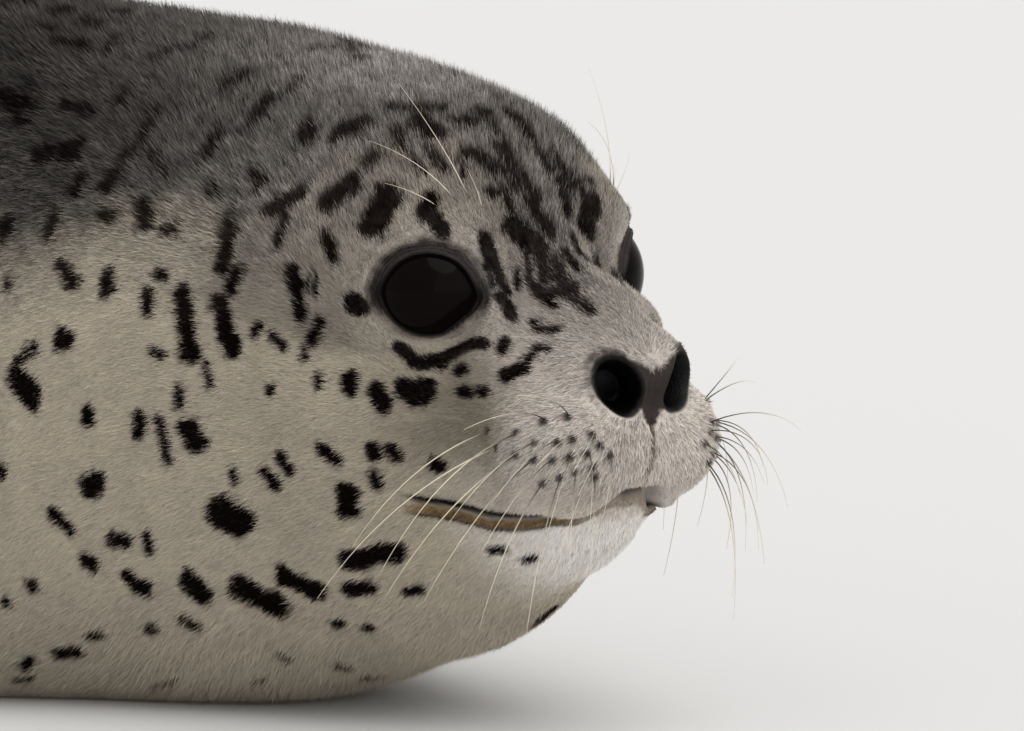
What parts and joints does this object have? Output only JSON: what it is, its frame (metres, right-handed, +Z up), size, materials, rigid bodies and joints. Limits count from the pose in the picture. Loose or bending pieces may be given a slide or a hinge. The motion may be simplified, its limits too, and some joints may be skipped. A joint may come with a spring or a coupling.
{
  "type": "spotted seal",
  "caption": "Life-size young spotted seal lying on its belly, head raised and turned to its right, flippers resting on the floor.",
  "frame": {"origin": "on the floor, under the middle of the whole animal's extents", "axes": "+X runs along the trunk from tail to head, +Y is the animal's left, +Z is up"},
  "size_m": [1.1336, 0.3744, 0.2458],
  "materials": {
    "coat": "short flat fur, grey above and cream below, with dark brown spots",
    "flipper_coat": "very short grey fur over dark skin",
    "bare_skin": "bare damp skin of the nose",
    "eye": "wet, nearly black",
    "claw": "smooth dark horn"
  },
  "bodies": {
    "root": {"head": "coat", "muzzle": "coat", "lower_jaw": "coat", "nose": "bare_skin", "eye_left": "eye", "eye_right": "eye", "neck": "coat", "shoulders": "coat", "trunk": "coat", "hips": "coat", "tail": "coat", "fore_flipper_left": "flipper_coat", "fore_flipper_left_claw_1": "claw", "fore_flipper_left_claw_2": "claw", "fore_flipper_left_claw_3": "claw", "fore_flipper_left_claw_4": "claw", "fore_flipper_left_claw_5": "claw", "fore_flipper_right": "flipper_coat", "fore_flipper_right_claw_1": "claw", "fore_flipper_right_claw_2": "claw", "fore_flipper_right_claw_3": "claw", "fore_flipper_right_claw_4": "claw", "fore_flipper_right_claw_5": "claw", "hind_flipper_left": "flipper_coat", "hind_flipper_left_claw_1": "claw", "hind_flipper_left_claw_2": "claw", "hind_flipper_left_claw_3": "claw", "hind_flipper_left_claw_4": "claw", "hind_flipper_left_claw_5": "claw", "hind_flipper_right": "flipper_coat", "hind_flipper_right_claw_1": "claw", "hind_flipper_right_claw_2": "claw", "hind_flipper_right_claw_3": "claw", "hind_flipper_right_claw_4": "claw", "hind_flipper_right_claw_5": "claw"}
  },
  "joints": []
}
